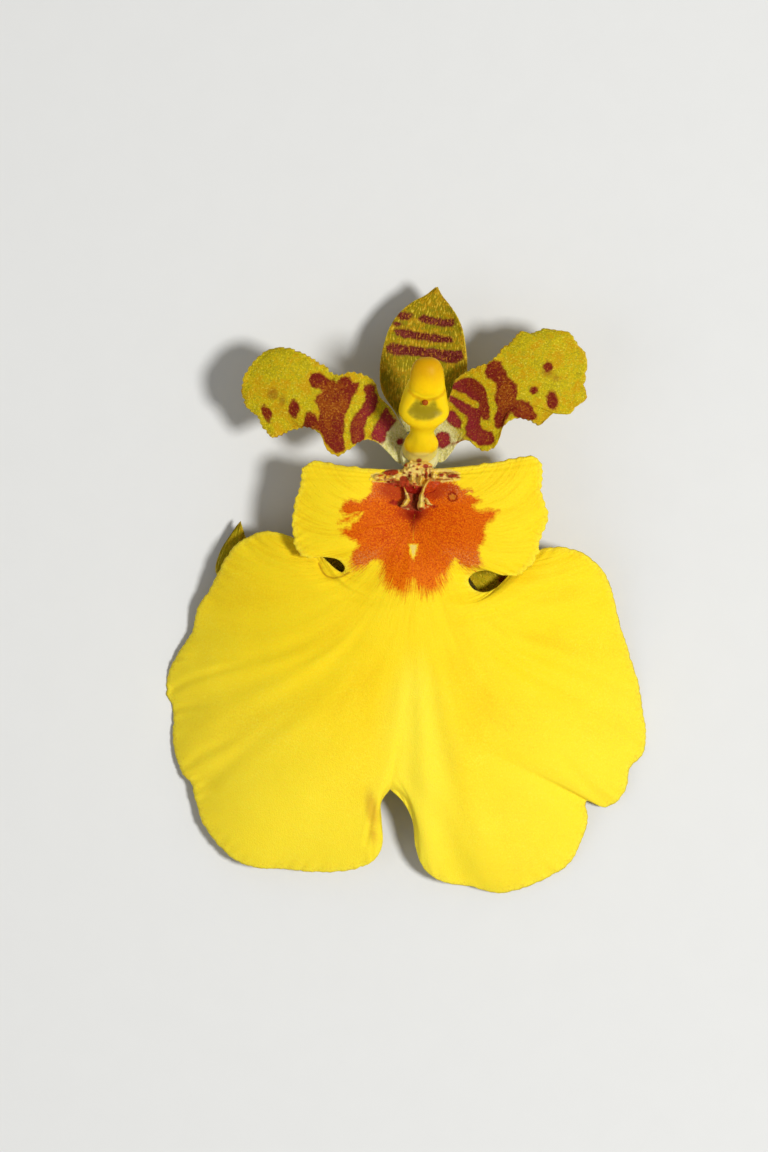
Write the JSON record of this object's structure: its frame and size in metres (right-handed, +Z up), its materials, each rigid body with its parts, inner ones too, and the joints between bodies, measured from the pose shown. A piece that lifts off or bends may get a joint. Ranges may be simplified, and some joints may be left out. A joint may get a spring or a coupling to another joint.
{
  "type": "oncidium orchid flower",
  "caption": "Picked oncidium orchid flower with a broad notched lip, spotted petals and a short stalk, lying face up.",
  "frame": {"origin": "centre of the flower's bounding box, on the surface that it lies on", "axes": "+Z up out of the flower's face, +Y from the lip's notch towards the dorsal sepal, +X across"},
  "size_m": [0.0321, 0.0405, 0.011],
  "materials": {
    "lip": "satin",
    "petal": "satin",
    "sepal": "satin",
    "column": "satin",
    "anther_cap": "satin",
    "pollen": "satin",
    "callus": "satin",
    "stalk": "satin"
  },
  "bodies": {
    "root": {"ovary_and_stalk": "stalk", "petal_left": "petal", "petal_right": "petal", "dorsal_sepal": "sepal", "lateral_sepal_left": "sepal", "lateral_sepal_right": "sepal", "lip": "lip", "callus": "callus", "column": "column", "anther_cap": "anther_cap", "pollinarium": "pollen"}
  },
  "joints": []
}
